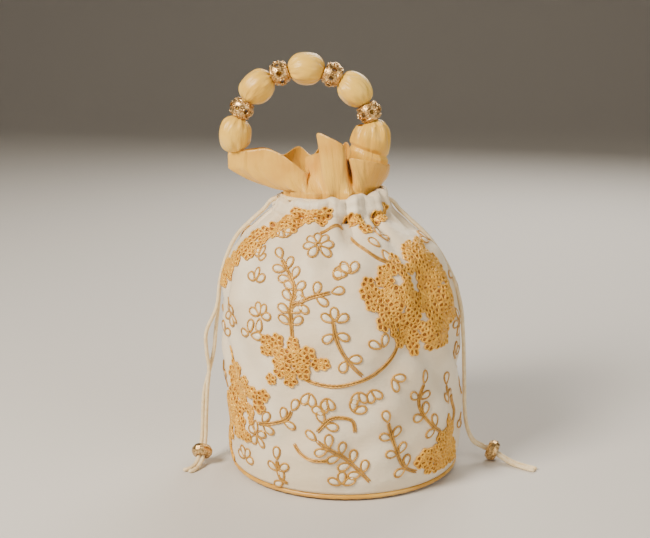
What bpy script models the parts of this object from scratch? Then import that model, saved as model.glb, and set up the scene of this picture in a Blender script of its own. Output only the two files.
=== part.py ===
"""A potli: a round-based drawstring pouch in embroidered silk with a beaded ring handle.

Metres, +Z up, front towards -Y. The origin is the centre of the base's underside.
"""

import math

import bmesh
import bpy
from mathutils import Matrix, Vector
from mathutils.geometry import interpolate_bezier

# Driving dimensions of the bag body: height, middle's shift in X, half width in X.
BODY_SECTIONS = (
    (0.0052, 0.0, 0.0868),
    (0.014, 0.0, 0.0888),
    (0.050, 0.0, 0.0892),
    (0.090, -0.0015, 0.0896),
    (0.118, -0.0035, 0.0893),
    (0.138, -0.0055, 0.0868),
    (0.153, -0.0070, 0.0816),
    (0.167, -0.0082, 0.0752),
    (0.179, -0.0094, 0.0658),
    (0.189, -0.0100, 0.0555),
    (0.197, -0.0100, 0.0462),
    (0.204, -0.0100, 0.0422),
    (0.211, -0.0100, 0.0415),
)
SILK = 0.0010
LINING = 0.0007
LINING_INSET = 0.0024
BODY_SIDES = 32
NECK_X = -0.0100
NECK_DEPTH_RATIO = 0.86
SHOULDER_HEIGHT = 0.167

# The base.
BASE_RADIUS = 0.0830
BASE_CLOTH = 0.0010
BOARD_RADIUS = 0.0815
BOARD = 0.0020
PIPING_RADIUS = 0.0016
PIPING_RING = 0.0856
GAP = 0.0003

# The casing and its two cords.
CORD_RADIUS = 0.0015
CASING_CORD_A = 0.0376
CASING_CORD_B = 0.0321
CASING_CORD_SIDES = 24
CASING_HEIGHTS = (0.2026, 0.2068)
SLIT_HEIGHT = 0.0100
SLIT_WIDTH = 0.0105
SLIT_DEPTH = 0.0080

# The frill: a standing collar whose lower edge faces the casing from inside.
FRILL_FOOT = 0.1990
FRILL_A = 0.0348
FRILL_B = 0.0294
FRILL_TOP = 0.2295
TAB_RISE = 0.0045
FRILL_CLOTH = 0.0008
FRILL_SIDES = 48
FRILL_FOLDS = 9
FRILL_FOLD_DEPTH = 0.0013
FLARE_FROM = 0.4
TAB_TIP = 0.0020
TAB_NARROWNESS = 8
TAB_PEAK_NARROWNESS = 3
TAB_REACH = 0.6
TAB_PINCH = 0.5
TAB_ROUNDNESS = 0.3

# The handle: a ring of five covered balls and four metal spacers.
RING_X = -0.0300
RING_Z = 0.2480
RING = 0.0515
RIGHT_PULL = 0.0080
PULL_FROM, PULL_SPAN = 15.5, 28.5
RING_MIDDLE = 88.5
RING_STEP = 21.8
BALL_HALF_ANGLE = 14.3
BALL_RADIUS = 0.0123
BALL_FULLNESS = 2.4
BALL_SHOULDER = 0.6
HANDLE_NECK = 0.0032
HANDLE_CLOTH = 0.0007
CORE_RADIUS = 0.0104
CORE_HALF_LENGTH = 0.0090
CORE_BORE = 0.0032
CORE_END_LAND = 0.0004
HANDLE_CORD = 0.0010
SPACER_HALF_LENGTH = 0.0062
SPACER_BELT = 0.0092
SPACER_END = 0.0066
SPACER_BORE = 0.0044
SPACER_WALL = 0.0009
SPACER_BELT_SHARE = 0.4
SPACER_EYELETS = 8
EYELET_RADIUS = 0.0016

# The cords' end beads: middle, the way their bore runs, outer radius, half length.
BEAD_LEFT = (Vector((-0.1092, -0.0192, 0.0105)), Vector((-0.12, -0.83, -0.92)))
BEAD_RIGHT = (Vector((0.1150, -0.0080, 0.0083)), Vector((1.45, -0.50, -0.46)))
BEAD_RADIUS = 0.0080
BEAD_HALF_LENGTH = 0.0040
BEAD_BORE = 0.0041
BEAD_END_SHARE = 0.78
BEAD_BELT_SHARE = 0.35

# Routes of the four free runs, each from its slit to its bare end.
LEFT_FRONT = (
    (-0.0500, -0.0020, 0.2048),
    (-0.0555, -0.0024, 0.2025),
    (-0.0608, -0.0028, 0.1962),
    (-0.0700, -0.0034, 0.1880),
    (-0.0812, -0.0040, 0.1765),
    (-0.0893, -0.0048, 0.1600),
    (-0.0942, -0.0056, 0.1420),
    (-0.0970, -0.0066, 0.1220),
    (-0.1050, -0.0085, 0.1030),
    (-0.1052, -0.0092, 0.0880),
    (-0.1035, -0.0098, 0.0740),
    (-0.1052, -0.0105, 0.0560),
    (-0.1062, -0.0112, 0.0380),
    (-0.1068, -0.0122, 0.0230),
    (-0.1073, -0.0152, 0.0150),
    (-0.1076, -0.0192, 0.0105),
    (-0.1085, -0.0238, 0.0055),
    (-0.1105, -0.0290, 0.0028),
    (-0.1135, -0.0350, 0.0017),
    (-0.1172, -0.0385, 0.0016),
)
LEFT_BACK = (
    (-0.0500, 0.0020, 0.2048),
    (-0.0555, 0.0012, 0.2025),
    (-0.0608, 0.0008, 0.1962),
    (-0.0700, 0.0002, 0.1880),
    (-0.0812, -0.0004, 0.1765),
    (-0.0893, -0.0012, 0.1600),
    (-0.0942, -0.0020, 0.1420),
    (-0.0962, -0.0028, 0.1220),
    (-0.0985, -0.0032, 0.1030),
    (-0.1000, -0.0046, 0.0880),
    (-0.1030, -0.0058, 0.0740),
    (-0.1078, -0.0070, 0.0560),
    (-0.1092, -0.0082, 0.0380),
    (-0.1098, -0.0097, 0.0230),
    (-0.1104, -0.0150, 0.0150),
    (-0.1108, -0.0192, 0.0105),
    (-0.1120, -0.0236, 0.0055),
    (-0.1143, -0.0288, 0.0028),
    (-0.1180, -0.0338, 0.0017),
    (-0.1220, -0.0352, 0.0016),
)
RIGHT_FRONT = (
    (0.0300, -0.0020, 0.2048),
    (0.0355, -0.0024, 0.2025),
    (0.0408, -0.0028, 0.1962),
    (0.0498, -0.0034, 0.1880),
    (0.0615, -0.0040, 0.1768),
    (0.0732, -0.0048, 0.1610),
    (0.0824, -0.0056, 0.1425),
    (0.0880, -0.0062, 0.1225),
    (0.0902, -0.0066, 0.1000),
    (0.0913, -0.0068, 0.0800),
    (0.0921, -0.0070, 0.0600),
    (0.0928, -0.0072, 0.0420),
    (0.0950, -0.0074, 0.0270),
    (0.0995, -0.0078, 0.0160),
    (0.1065, -0.0070, 0.0110),
    (0.1144, -0.0096, 0.0083),
    (0.1212, -0.0136, 0.0048),
    (0.1280, -0.0196, 0.0022),
    (0.1355, -0.0256, 0.0016),
    (0.1440, -0.0318, 0.0016),
)
RIGHT_BACK = (
    (0.0300, 0.0020, 0.2048),
    (0.0355, 0.0012, 0.2025),
    (0.0408, 0.0008, 0.1962),
    (0.0498, 0.0002, 0.1880),
    (0.0615, -0.0004, 0.1768),
    (0.0732, -0.0012, 0.1610),
    (0.0824, -0.0020, 0.1425),
    (0.0880, -0.0026, 0.1225),
    (0.0904, -0.0030, 0.1000),
    (0.0915, -0.0032, 0.0800),
    (0.0923, -0.0034, 0.0600),
    (0.0930, -0.0036, 0.0420),
    (0.0952, -0.0036, 0.0270),
    (0.1000, -0.0040, 0.0160),
    (0.1076, -0.0038, 0.0110),
    (0.1156, -0.0064, 0.0083),
    (0.1226, -0.0104, 0.0048),
    (0.1302, -0.0160, 0.0022),
    (0.1378, -0.0218, 0.0016),
    (0.1465, -0.0280, 0.0016),
)
CORD_POINTS = 36

SILK_COLOUR = (0.78, 0.69, 0.56)
GOLD_COLOUR = (0.62, 0.36, 0.11)
SATIN_COLOUR = (0.74, 0.50, 0.22)
CORD_COLOUR = (0.82, 0.66, 0.42)
BRASS_COLOUR = (0.62, 0.42, 0.18)
LINING_COLOUR = (0.70, 0.58, 0.40)
BOARD_COLOUR = (0.45, 0.36, 0.26)
WOOD_COLOUR = (0.55, 0.40, 0.24)

for old in list(bpy.data.objects):
    bpy.data.objects.remove(old)
parts = bpy.data.collections.new("potli_bag")
cutters = bpy.data.collections.new("cutters")
cutters.hide_render = True
for collection in (parts, cutters):
    bpy.context.scene.collection.children.link(collection)


def material(name, colour, roughness, metallic=0.0):
    made = bpy.data.materials.new(name)
    made.use_nodes = True
    shader = made.node_tree.nodes["Principled BSDF"]
    shader.inputs["Base Color"].default_value = (*colour, 1)
    shader.inputs["Roughness"].default_value = roughness
    shader.inputs["Metallic"].default_value = metallic
    return made


SILK_CLOTH = material("ivory_silk", SILK_COLOUR, 0.45)
SATIN = material("gold_satin", SATIN_COLOUR, 0.38)
PIPING = material("gold_piping", GOLD_COLOUR, 0.45)
CORD = material("satin_cord", CORD_COLOUR, 0.45)
BRASS = material("antique_brass", BRASS_COLOUR, 0.35, 1.0)
COTTON = material("lining_cotton", LINING_COLOUR, 0.8)
CARD = material("base_card", BOARD_COLOUR, 0.9)
WOOD = material("core_wood", WOOD_COLOUR, 0.7)


def add_object(name, data, look, collection=parts):
    made = bpy.data.objects.new(name, data)
    collection.objects.link(made)
    data.materials.append(look)
    return made


def add_mesh(name, shape, look, collection=parts):
    """An object from a bmesh, which is freed."""
    data = bpy.data.meshes.new(name)
    shape.to_mesh(data)
    shape.free()
    data.shade_smooth()
    data.set_sharp_from_angle(angle=math.radians(40))
    return add_object(name, data, look, collection)


def solidify(obj, thickness, offset=-1.0):
    wall = obj.modifiers.new("Wall", "SOLIDIFY")
    wall.thickness = thickness
    wall.offset = offset
    return wall


def body_section(height):
    """Middle, half width and half depth of the bag body at a height."""
    for low, high in zip(BODY_SECTIONS, BODY_SECTIONS[1:]):
        if height <= high[0]:
            break
    share = (height - low[0]) / (high[0] - low[0])
    middle = low[1] + share * (high[1] - low[1])
    width = low[2] + share * (high[2] - low[2])
    neck = min(1.0, max(0.0, (height - SHOULDER_HEIGHT) / (BODY_SECTIONS[-2][0] - SHOULDER_HEIGHT)))
    return middle, width, width * (1 - neck * (1 - NECK_DEPTH_RATIO))


def loft(rings, close_foot=False):
    """A skin through rings of points, each joined to the next by its edges."""
    shape = bmesh.new()
    rows = [[shape.verts.new(point) for point in ring] for ring in rings]
    for low, high in zip(rows, rows[1:]):
        for i in range(len(low)):
            j = (i + 1) % len(low)
            shape.faces.new((low[i], low[j], high[j], high[i]))
    if close_foot:
        shape.faces.new(reversed(rows[0]))
    return shape


def oval(middle, a, b, height, sides):
    turns = (2 * math.pi * i / sides for i in range(sides))
    return [(middle + a * math.cos(t), b * math.sin(t), height) for t in turns]


def box_cutter(name, place, size):
    shape = bmesh.new()
    bmesh.ops.create_cube(shape, size=1, matrix=Matrix.Translation(place) @ Matrix.Diagonal((*size, 1)))
    cutter = add_mesh(name, shape, SILK_CLOTH, cutters)
    cutter.hide_render = True
    cutter.display_type = "WIRE"
    return cutter


def cut(obj, cutter):
    hole = obj.modifiers.new("Cut " + cutter.name, "BOOLEAN")
    hole.operation = "DIFFERENCE"
    hole.object = cutter


def make_outer_bag():
    rings = []
    for height, middle, width in BODY_SECTIONS:
        depth = body_section(height)[2]
        rings.append(oval(middle, width, depth, height, BODY_SIDES))
    outer = add_mesh("outer_bag", loft(rings), SILK_CLOTH)
    solidify(outer, SILK)
    for side, name in ((-1, "left"), (1, "right")):
        place = Vector((NECK_X + side * BODY_SECTIONS[-1][2], 0, sum(CASING_HEIGHTS) / 2))
        cut(outer, box_cutter(f"slit_{name}", place, (SLIT_DEPTH, SLIT_WIDTH, SLIT_HEIGHT)))


def make_lining():
    foot = BASE_CLOTH + GAP + BOARD + GAP
    rings = [oval(0, BOARD_RADIUS, BOARD_RADIUS, foot, BODY_SIDES)]
    for height, middle, width in BODY_SECTIONS[1:-2]:
        depth = body_section(height)[2]
        inset = LINING_INSET + (SILK if height > SHOULDER_HEIGHT else 0)
        rings.append(oval(middle, width - inset, depth - inset, height, BODY_SIDES))
    rings.append(oval(NECK_X, FRILL_A, FRILL_B, FRILL_FOOT - GAP, BODY_SIDES))
    lining = add_mesh("lining_bag", loft(rings, close_foot=True), COTTON)
    solidify(lining, LINING)


def make_disc(name, radius, foot, thickness, look):
    shape = bmesh.new()
    middle = Matrix.Translation((0, 0, foot + thickness / 2))
    bmesh.ops.create_cone(
        shape, cap_ends=True, segments=48, radius1=radius, radius2=radius, depth=thickness, matrix=middle
    )
    add_mesh(name, shape, look)


def make_piping():
    bpy.ops.mesh.primitive_torus_add(
        major_segments=48,
        minor_segments=6,
        major_radius=PIPING_RING,
        minor_radius=PIPING_RADIUS,
        location=(0, 0, BASE_CLOTH + GAP + PIPING_RADIUS),
    )
    ring = bpy.context.object
    ring.name = "base_piping"
    for owner in ring.users_collection:
        owner.objects.unlink(ring)
    parts.objects.link(ring)
    ring.data.materials.append(PIPING)


def frill_point(turn, rise):
    """A point of the frill: turn round the neck, rise from 0 at the foot to 1 at the top edge."""
    cosine, sine = math.cos(turn), math.sin(turn)
    left_tab = max(0.0, -cosine) ** TAB_NARROWNESS
    right_tab = max(0.0, cosine) ** TAB_NARROWNESS
    flare = max(0.0, rise - FLARE_FROM) / (1 - FLARE_FROM)
    fold = FRILL_FOLD_DEPTH * flare * math.sin(FRILL_FOLDS * turn)
    fold *= 1 - max(left_tab, right_tab)
    a, b = FRILL_A + fold, FRILL_B + fold
    left_end = on_ring(RING_MIDDLE + 4 * RING_STEP + BALL_HALF_ANGLE).x
    right_end = on_ring(RING_MIDDLE - 4 * RING_STEP - BALL_HALF_ANGLE).x
    x = NECK_X + a * cosine
    x += flare * left_tab * (left_end - (NECK_X - FRILL_A))
    x += flare * right_tab * (right_end - (NECK_X + FRILL_A))
    y = b * sine
    if abs(cosine) > TAB_REACH:
        squeeze = flare * max(left_tab, right_tab) ** TAB_PINCH
        y += squeeze * (math.copysign(TAB_TIP, sine) * abs(sine) ** TAB_ROUNDNESS - y)
    top = FRILL_TOP + TAB_RISE * max(left_tab, right_tab) ** TAB_PEAK_NARROWNESS
    return x, y, FRILL_FOOT + rise * (top - FRILL_FOOT)


def make_frill():
    levels = (0, 0.2, 0.4, 0.6, 0.8, 1)
    turns = [2 * math.pi * (i + 0.5) / FRILL_SIDES for i in range(FRILL_SIDES)]
    rings = [[frill_point(turn, rise) for turn in turns] for rise in levels]
    frill = add_mesh("frill", loft(rings), SATIN)
    solidify(frill, FRILL_CLOTH)


def smooth_route(route, count):
    """count points, evenly spread along a smooth curve through the route's points."""
    points = [Vector(point) for point in route]
    ways = [(after - before) / 6 for before, after in zip(points, points[2:])]
    ways = [(points[1] - points[0]) / 3, *ways, (points[-1] - points[-2]) / 3]
    fine = []
    for i in range(len(points) - 1):
        start, end = points[i], points[i + 1]
        fine += interpolate_bezier(start, start + ways[i], end - ways[i + 1], end, 12)[:-1]
    fine.append(points[-1])
    lengths = [0.0]
    for a, b in zip(fine, fine[1:]):
        lengths.append(lengths[-1] + (b - a).length)
    spread = []
    at = 0
    for k in range(count):
        wanted = lengths[-1] * k / (count - 1)
        while at < len(fine) - 2 and lengths[at + 1] < wanted:
            at += 1
        share = (wanted - lengths[at]) / (lengths[at + 1] - lengths[at])
        spread.append(fine[at].lerp(fine[at + 1], share))
    return spread


def tube(name, points, radius, look, closed=False, radii=None):
    """A curve object along the points, round, with filled ends unless it is closed."""
    data = bpy.data.curves.new(name, "CURVE")
    data.dimensions = "3D"
    data.bevel_depth = radius
    data.bevel_resolution = 4 if radii else 2
    data.use_fill_caps = not closed and radii is None
    line = data.splines.new("POLY")
    line.points.add(len(points) - 1)
    for i, (point, place) in enumerate(zip(line.points, points)):
        point.co = (*place, 1)
        point.radius = radii[i] / radius if radii else 1
    line.use_cyclic_u = closed
    return add_object(name, data, look)


def make_casing_cords():
    for name, height in zip(("left", "right"), CASING_HEIGHTS):
        points = oval(NECK_X, CASING_CORD_A, CASING_CORD_B, height, CASING_CORD_SIDES)
        tube(f"drawstring_{name}_in_casing", points, CORD_RADIUS, CORD, closed=True)


def make_free_cords():
    runs = {
        "drawstring_left_front": LEFT_FRONT,
        "drawstring_left_back": LEFT_BACK,
        "drawstring_right_front": RIGHT_FRONT,
        "drawstring_right_back": RIGHT_BACK,
    }
    for name, route in runs.items():
        tube(name, smooth_route(route, CORD_POINTS), CORD_RADIUS, CORD)


def turned(name, profile, steps, look, place, way):
    """A closed ring turned from its section: (radius, along) pairs round the section."""
    shape = bmesh.new()
    corners = [shape.verts.new((radius, 0, along)) for radius, along in profile]
    for a, b in zip(corners, corners[1:] + corners[:1]):
        shape.edges.new((a, b))
    bmesh.ops.spin(
        shape,
        geom=shape.verts[:] + shape.edges[:],
        cent=(0, 0, 0),
        axis=(0, 0, 1),
        angle=2 * math.pi,
        steps=steps,
        use_merge=True,
    )
    bmesh.ops.recalc_face_normals(shape, faces=shape.faces[:])
    made = add_mesh(name, shape, look)
    made.location = place
    made.rotation_mode = "QUATERNION"
    made.rotation_quaternion = Vector(way).to_track_quat("Z", "Y")
    return made


def make_cord_beads():
    for name, (place, way) in (("left", BEAD_LEFT), ("right", BEAD_RIGHT)):
        end, belt = BEAD_RADIUS * BEAD_END_SHARE, BEAD_HALF_LENGTH * BEAD_BELT_SHARE
        profile = (
            (BEAD_BORE, BEAD_HALF_LENGTH),
            (end, BEAD_HALF_LENGTH),
            (BEAD_RADIUS, belt),
            (BEAD_RADIUS, -belt),
            (end, -BEAD_HALF_LENGTH),
            (BEAD_BORE, -BEAD_HALF_LENGTH),
        )
        turned(f"cord_bead_{name}", profile, 16, BRASS, place, way)


def on_ring(degrees):
    """A point of the ring's middle line, which is pulled in a little towards its right end."""
    turn = math.radians(degrees)
    reach = RING - RIGHT_PULL * max(0.0, (PULL_FROM - degrees) / PULL_SPAN) ** 2
    return Vector((RING_X + reach * math.cos(turn), 0, RING_Z + reach * math.sin(turn)))


def ring_way(degrees):
    return (on_ring(degrees + 0.5) - on_ring(degrees - 0.5)).normalized()


def cover_radius(degrees):
    """The handle's radius where its satin tube covers a ball, or is drawn in between two."""
    nearest = round((degrees - RING_MIDDLE) / (2 * RING_STEP))
    offset = abs(degrees - RING_MIDDLE - 2 * RING_STEP * nearest) / BALL_HALF_ANGLE
    if offset >= 1:
        return HANDLE_NECK
    return HANDLE_NECK + (BALL_RADIUS - HANDLE_NECK) * (1 - offset**BALL_FULLNESS) ** BALL_SHOULDER


def make_handle_cover():
    first = RING_MIDDLE - 4 * RING_STEP - BALL_HALF_ANGLE
    shares = (0, 0.03, 0.12, 0.28, 0.5, 0.72, 0.88, 0.97, 1)
    angles = []
    for ball in range(5):
        start = first + ball * 2 * RING_STEP
        angles += [start + 2 * BALL_HALF_ANGLE * share for share in shares]
    points = [on_ring(angle) for angle in angles]
    radii = [cover_radius(angle) for angle in angles]
    rough = tube("handle_cover_line", points, BALL_RADIUS, SATIN, radii=radii)
    graph = bpy.context.evaluated_depsgraph_get()
    data = bpy.data.meshes.new_from_object(rough.evaluated_get(graph))
    bpy.data.objects.remove(rough)
    data.name = "handle_cover"
    data.materials.clear()
    cover = add_object("handle_cover", data, SATIN)
    solidify(cover, HANDLE_CLOTH)
    span = angles[-1] - angles[0] + 2
    line = [on_ring(angles[0] - 1 + span * i / 24) for i in range(25)]
    tube("handle_cord", line, HANDLE_CORD, CORD)


def make_cores():
    profile = []
    steps = 7
    last = math.acos((CORE_BORE + CORE_END_LAND) / CORE_RADIUS)
    for i in range(steps):
        turn = last * (2 * i / (steps - 1) - 1)
        profile.append((CORE_RADIUS * math.cos(turn), CORE_HALF_LENGTH * math.sin(turn)))
    end = profile[-1][1]
    profile = [(CORE_BORE, -end), *profile, (CORE_BORE, end)]
    for ball in range(5):
        angle = RING_MIDDLE + (2 - ball) * 2 * RING_STEP
        turned(f"handle_core_{ball + 1}", profile, 14, WOOD, on_ring(angle), ring_way(angle))


def spacer_profile():
    half, wall = SPACER_HALF_LENGTH, SPACER_WALL
    belt = half * SPACER_BELT_SHARE
    outside = ((SPACER_END, half), (SPACER_BELT, belt), (SPACER_BELT, -belt), (SPACER_END, -half))
    inside = (
        (SPACER_BORE, -half),
        (SPACER_BORE, -half + wall),
        (SPACER_BELT - wall, -belt),
        (SPACER_BELT - wall, belt),
        (SPACER_BORE, half - wall),
        (SPACER_BORE, half),
    )
    return outside + inside


def eyelet_cutter():
    """Four rods across the belt, which cut eight eyelets."""
    shape = bmesh.new()
    for i in range(SPACER_EYELETS):
        turn = Matrix.Rotation(2 * math.pi * (i + 0.5) / SPACER_EYELETS, 4, "Z")
        lay = Matrix.Translation((SPACER_BELT, 0, 0)) @ Matrix.Rotation(math.pi / 2, 4, "Y")
        bmesh.ops.create_cone(
            shape,
            cap_ends=True,
            segments=6,
            radius1=EYELET_RADIUS,
            radius2=EYELET_RADIUS,
            depth=4 * SPACER_WALL,
            matrix=turn @ lay,
        )
    cutter = add_mesh("eyelets", shape, BRASS, cutters)
    cutter.hide_render = True
    cutter.display_type = "WIRE"
    return cutter


def make_spacers():
    for i in range(4):
        angle = RING_MIDDLE + (3 - 2 * i) * RING_STEP
        name = f"handle_spacer_{i + 1}"
        spacer = turned(name, spacer_profile(), 16, BRASS, on_ring(angle), ring_way(angle))
        cutter = eyelet_cutter()
        cutter.name = f"eyelets_{i + 1}"
        cutter.matrix_world = Matrix.Translation(on_ring(angle)) @ spacer.rotation_quaternion.to_matrix().to_4x4()
        cut(spacer, cutter)


make_disc("base_cover", BASE_RADIUS, 0, BASE_CLOTH, SATIN)
make_disc("base_board", BOARD_RADIUS, BASE_CLOTH + GAP, BOARD, CARD)
make_piping()
make_outer_bag()
make_lining()
make_frill()
make_casing_cords()
make_free_cords()
make_cord_beads()
make_handle_cover()
make_cores()
make_spacers()
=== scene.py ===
# %% [markdown]
# # A potli bag in ivory silk
# A potli is a round-based drawstring pouch. This one is silk with gold cord embroidery, a satin
# frill over a gathered casing, and a ring handle of covered balls and pierced metal spacers. The
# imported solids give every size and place, so they are loaded first and never moved.

# %% Load the solids
import math
import random

import bmesh
import bpy
import numpy as np
from mathutils import Matrix, Vector


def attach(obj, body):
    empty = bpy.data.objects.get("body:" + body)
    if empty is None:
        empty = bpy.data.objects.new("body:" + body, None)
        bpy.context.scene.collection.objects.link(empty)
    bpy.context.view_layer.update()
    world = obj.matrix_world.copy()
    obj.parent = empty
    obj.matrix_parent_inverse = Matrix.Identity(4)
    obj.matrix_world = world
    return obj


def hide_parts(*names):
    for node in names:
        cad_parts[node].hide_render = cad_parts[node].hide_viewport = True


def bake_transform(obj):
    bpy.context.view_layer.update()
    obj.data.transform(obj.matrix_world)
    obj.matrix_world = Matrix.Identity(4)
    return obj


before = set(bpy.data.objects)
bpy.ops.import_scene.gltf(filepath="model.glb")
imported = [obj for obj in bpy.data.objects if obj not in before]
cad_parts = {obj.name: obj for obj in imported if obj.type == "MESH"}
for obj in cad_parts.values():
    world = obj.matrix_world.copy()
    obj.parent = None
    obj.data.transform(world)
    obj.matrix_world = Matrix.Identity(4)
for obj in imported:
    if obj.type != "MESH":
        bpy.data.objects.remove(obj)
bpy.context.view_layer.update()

# %% [markdown]
# ## Camera, floor and light
# The bag stands on a pale floor. The camera is close, a little above the handle, and looks down,
# so the base shows as a curve. Large soft lights keep the silk even and let the satin shine.

# %% Camera
bpy.ops.object.camera_add(location=(0, -0.84, 0.34))
camera = bpy.context.object
camera.name = "camera"
camera.data.lens = 63
camera.rotation_euler = (Vector((-0.015, 0, 0.15)) - camera.location).to_track_quat("-Z", "Y").to_euler()
bpy.context.scene.camera = camera

# %% Floor, soft lights and a pale world
bpy.ops.mesh.primitive_plane_add(size=10)
floor = bpy.context.object
floor.name = "floor"
bpy.ops.object.mode_set(mode="EDIT")
rim = bmesh.from_edit_mesh(floor.data)
for edge in rim.edges:
    edge.select_set(all(vertex.co.y > 4.9 for vertex in edge.verts))
bpy.ops.mesh.extrude_region_move(TRANSFORM_OT_translate={"value": (0, 0, 5)})
bpy.ops.object.mode_set(mode="OBJECT")
cove = floor.modifiers.new("Cove", "BEVEL")
cove.width = 2.5
cove.segments = 12
bpy.ops.object.modifier_apply(modifier=cove.name)
bpy.ops.object.shade_smooth()
floor_finish = bpy.data.materials.new("floor_finish")
floor_finish.use_nodes = True
floor_finish.node_tree.nodes["Principled BSDF"].inputs["Base Color"].default_value = (0.66, 0.64, 0.61, 1)
floor_finish.node_tree.nodes["Principled BSDF"].inputs["Roughness"].default_value = 0.8
floor.data.materials.append(floor_finish)

LIGHTS = (
    ("key", (-0.95, -0.85, 1.15), 0.55, 46),
    ("fill", (1.1, -0.8, 0.7), 1.0, 9),
    ("rim", (0.4, 1.2, 1.1), 0.9, 20),
)
for name, place, size, power in LIGHTS:
    bpy.ops.object.light_add(type="AREA", location=place)
    light = bpy.context.object
    light.name = name
    light.data.size = size
    light.data.energy = power
    light.data.color = (1.0, 0.90, 0.76) if name == "key" else (1.0, 0.94, 0.85)
    light.rotation_euler = (Vector((0, 0, 0.14)) - light.location).to_track_quat("-Z", "Y").to_euler()
world = bpy.data.worlds.new("studio")
world.use_nodes = True
world.node_tree.nodes["Background"].inputs["Color"].default_value = (1.0, 0.97, 0.93, 1)
world.node_tree.nodes["Background"].inputs["Strength"].default_value = 0.70
bpy.context.scene.world = world
print("lights:", len(LIGHTS))

# %% [markdown]
# ## Writing shaders as sums
# A node tree is easier to read as an expression. The small class below wraps one socket, so that
# adding or multiplying two of them adds the Math node that does it.


# %% A socket that can be added and multiplied
class Value:
    def __init__(self, look, socket):
        self.look, self.socket = look, socket

    def math(self, operation, a, b=0.0, c=0.0):
        return self.look.node("ShaderNodeMath", {"operation": operation}, {0: a, 1: b, 2: c})

    def __add__(self, other):
        return self.math("ADD", self, other)

    def __sub__(self, other):
        return self.math("SUBTRACT", self, other)

    def __rsub__(self, other):
        return self.math("SUBTRACT", other, self)

    def __mul__(self, other):
        return self.math("MULTIPLY", self, other)

    __radd__ = __add__
    __rmul__ = __mul__

    def step(self, low, high):
        """0 below low, 1 above high, smooth between."""
        settings = {"interpolation_type": "SMOOTHSTEP"}
        inputs = {"Value": self, "From Min": low, "From Max": high}
        return self.look.node("ShaderNodeMapRange", settings, inputs)


class Look:
    """A material, its node tree and its Principled shader."""

    def __init__(self, name, roughness=0.5, metallic=0.0, sheen=0.0, specular=0.5):
        self.material = bpy.data.materials.new(name)
        self.material.use_nodes = True
        self.tree = self.material.node_tree
        self.shader = self.tree.nodes["Principled BSDF"]
        self.set("Roughness", roughness)
        self.set("Metallic", metallic)
        self.shader.inputs["Sheen Weight"].default_value = sheen
        self.shader.inputs["Specular IOR Level"].default_value = specular

    def put(self, socket, value):
        if isinstance(value, Value):
            self.tree.links.new(value.socket, socket)
        else:
            socket.default_value = value

    def set(self, name, value):
        self.put(self.shader.inputs[name], value)

    def node(self, kind, settings, inputs, output=0):
        made = self.tree.nodes.new(kind)
        for key, value in settings.items():
            setattr(made, key, value)
        for key, value in inputs.items():
            self.put(made.inputs[key], value)
        return Value(self, made.outputs[output])

    def place(self, output="Object"):
        return self.node("ShaderNodeTexCoord", {}, {}, output)

    def stretched(self, place, scale):
        return self.node("ShaderNodeMapping", {}, {"Vector": place, "Scale": scale})

    def noise(self, place, scale, detail=2.0, roughness=0.5):
        inputs = {"Vector": place, "Scale": scale, "Detail": detail, "Roughness": roughness}
        return self.node("ShaderNodeTexNoise", {}, inputs)

    def wave(self, place, scale, direction, distortion=0.0):
        settings = {"wave_type": "BANDS", "bands_direction": direction}
        inputs = {"Vector": place, "Scale": scale, "Distortion": distortion}
        return self.node("ShaderNodeTexWave", settings, inputs)

    def mix(self, amount, first, second):
        """A blend of two colours, each three numbers or a socket."""
        inputs = {0: amount}
        for slot, colour in ((6, first), (7, second)):
            inputs[slot] = colour if isinstance(colour, Value) else (*colour, 1)
        return self.node("ShaderNodeMix", {"data_type": "RGBA"}, inputs, 2)

    def bump(self, height, distance, strength=1.0):
        inputs = {"Height": height, "Distance": distance, "Strength": strength}
        self.set("Normal", self.node("ShaderNodeBump", {}, inputs))


# %% [markdown]
# ## The cloths and the metal
# Silk has a fine weave with thicker slub threads across it. Satin is smooth and lustrous. The
# embroidery thread is twisted and a little metallic. Each is made from waves and noise at the
# real scale of its threads.

# %% Silk
def make_silk():
    look = Look("ivory_silk", roughness=0.46, sheen=0.25)
    cloth = look.place("UV")
    slub = look.noise(look.stretched(cloth, (60, 1400, 1)), 1.0, 3.0)
    cloud = look.noise(look.place(), 24, 3.0)
    colour = look.mix(cloud.step(0.35, 0.7), (0.83, 0.70, 0.49), (0.89, 0.79, 0.60))
    look.set("Base Color", look.mix(slub.step(0.55, 0.8) * 0.35, colour, (0.72, 0.59, 0.41)))
    look.set("Roughness", 0.40 + 0.14 * slub)
    weave = look.wave(cloth, 300, "X") * look.wave(cloth, 300, "Y")
    wrinkles = look.noise(look.place(), 45, 3.0, 0.55)
    look.bump(weave * 0.1 + slub * 0.25 + 0.4 * look.noise(look.place(), 150, 3.0) + 3.0 * wrinkles, 0.0006)
    return look.material


SILK = make_silk()


# %% Satin for the frill and the handle
def make_satin(name, light, dark, creases=0.0009):
    look = Look(name, roughness=0.34, sheen=0.2, specular=0.55)
    cloth = look.place("UV")
    cloud = look.noise(look.place(), 30, 3.0)
    thread = look.noise(look.stretched(cloth, (2600, 130, 1)), 1.0, 2.0)
    colour = look.mix(cloud.step(0.3, 0.75), dark, light)
    look.set("Base Color", look.mix(thread.step(0.5, 0.8) * 0.2, colour, dark))
    look.set("Roughness", 0.30 + 0.16 * cloud)
    puckers = look.noise(look.stretched(cloth, (170, 34, 1)), 1.0, 3.0)
    look.bump(puckers + thread * 0.05, creases)
    return look.material


SATIN = make_satin("gold_satin", (0.90, 0.53, 0.07), (0.70, 0.34, 0.03), 0.0024)
HANDLE_SATIN = make_satin("handle_satin", (0.95, 0.61, 0.09), (0.82, 0.45, 0.04), 0.0022)
PIPING = make_satin("gold_piping", (0.80, 0.46, 0.07), (0.62, 0.30, 0.03), 0.0002)


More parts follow.
